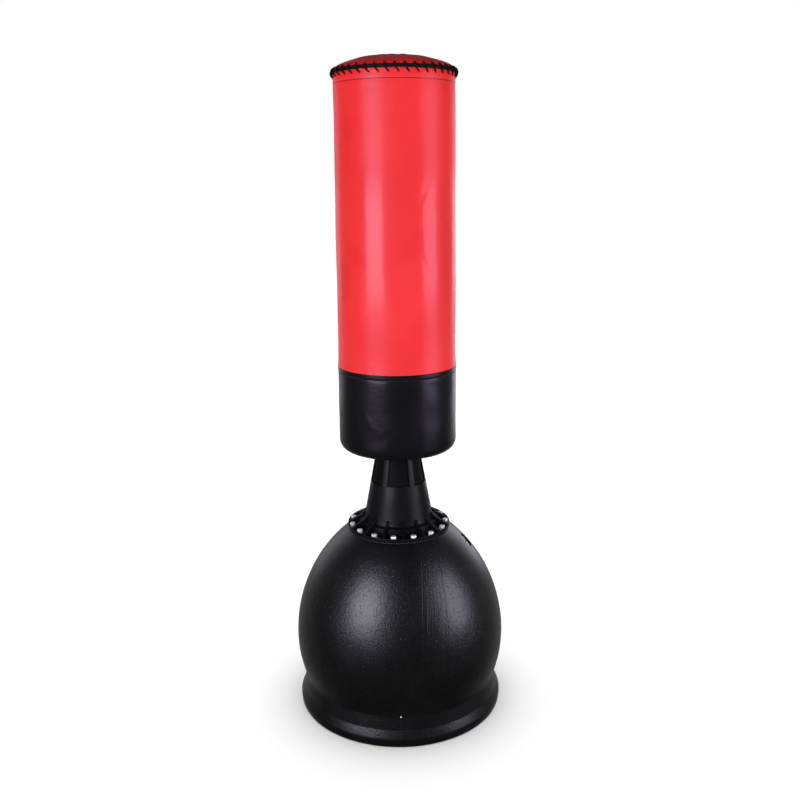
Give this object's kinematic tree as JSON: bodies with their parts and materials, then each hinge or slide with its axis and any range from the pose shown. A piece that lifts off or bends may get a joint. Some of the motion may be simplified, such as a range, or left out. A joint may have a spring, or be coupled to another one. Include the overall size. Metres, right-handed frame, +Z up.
{
  "type": "free-standing punching bag",
  "caption": "Free-standing punching bag: padded red and black cylinder on a sprung neck cone, bolted to a domed, fillable base tank.",
  "frame": {"origin": "on the floor, at the centre of the base tank's footprint", "axes": "+Z up along the bag, front towards -Y, filling cap on the +X side"},
  "size_m": [0.5656, 0.5656, 1.7025],
  "materials": {
    "tank_plastic": "satin",
    "neck_plastic": "satin",
    "cap_plastic": "gloss",
    "rubber": "matte",
    "zinc_steel": "satin",
    "brass": "satin",
    "dark_steel": "satin",
    "red_leathercloth": "gloss",
    "dark_red_leathercloth": "satin",
    "black_leathercloth": "gloss",
    "lacing_cord": "matte",
    "dense_foam": "matte",
    "soft_foam": "matte",
    "plywood": "matte"
  },
  "bodies": {
    "base": {"base_tank": "tank_plastic", "thread_insert_01": "brass", "thread_insert_02": "brass", "thread_insert_03": "brass", "thread_insert_04": "brass", "thread_insert_05": "brass", "thread_insert_06": "brass", "thread_insert_07": "brass", "thread_insert_08": "brass", "thread_insert_09": "brass", "thread_insert_10": "brass", "thread_insert_11": "brass", "thread_insert_12": "brass", "thread_insert_13": "brass", "thread_insert_14": "brass", "thread_insert_15": "brass", "flange_bolt_01": "zinc_steel", "flange_bolt_02": "zinc_steel", "flange_bolt_03": "zinc_steel", "flange_bolt_04": "zinc_steel", "flange_bolt_05": "zinc_steel", "flange_bolt_06": "zinc_steel", "flange_bolt_07": "zinc_steel", "flange_bolt_08": "zinc_steel", "flange_bolt_09": "zinc_steel", "flange_bolt_10": "zinc_steel", "flange_bolt_11": "zinc_steel", "flange_bolt_12": "zinc_steel", "flange_bolt_13": "zinc_steel", "flange_bolt_14": "zinc_steel", "flange_bolt_15": "zinc_steel", "flange_gasket": "rubber", "neck_cone": "neck_plastic", "core_cone": "dark_steel", "lower_spring_seat": "dark_steel", "seat_bolt_01": "zinc_steel", "seat_bolt_02": "zinc_steel", "seat_bolt_03": "zinc_steel"},
    "spring": {"coil_spring": "dark_steel"},
    "bag": {"upper_spring_seat": "dark_steel", "core_tube": "dark_steel", "core_cross_bolt": "zinc_steel", "core_cross_nut": "zinc_steel", "sleeve_cover": "red_leathercloth", "skirt_cover": "black_leathercloth", "top_cover": "dark_red_leathercloth", "inner_foam": "dense_foam", "outer_foam": "soft_foam", "bottom_board": "plywood", "top_board": "plywood", "top_pad": "soft_foam", "rim_lacing": "lacing_cord"},
    "filling_seal": {"fill_seal": "rubber"},
    "filling_cap": {"fill_cap": "cap_plastic"}
  },
  "joints": [
    {"name": "lean_sideways", "type": "hinge", "parent": "base", "child": "spring", "pos_m": [0, 0, 0.8051], "axis": [0, 1, 0], "range_deg": [-10, 10], "stiffness_Nm_per_rad": 900, "deforming": ["coil_spring"]},
    {"name": "lean_front_back", "type": "hinge", "parent": "spring", "child": "bag", "pos_m": [0, 0, 0.8051], "axis": [1, 0, 0], "range_deg": [-10, 10], "stiffness_Nm_per_rad": 900},
    {"name": "cap_lift", "type": "slide", "parent": "base", "child": "filling_seal", "axis": [0.7443, 0, 0.6679], "range_m": [0, 0.009]},
    {"name": "cap_turn", "type": "hinge", "parent": "filling_seal", "child": "filling_cap", "pos_m": [0.18484, 0, 0.452], "axis": [0.7443, 0, 0.6679], "range_deg": [0, 1080]}
  ],
  "couplings": [
    {"joint": "cap_lift", "follows": "cap_turn", "m_per_rad": 0.00047746}
  ]
}
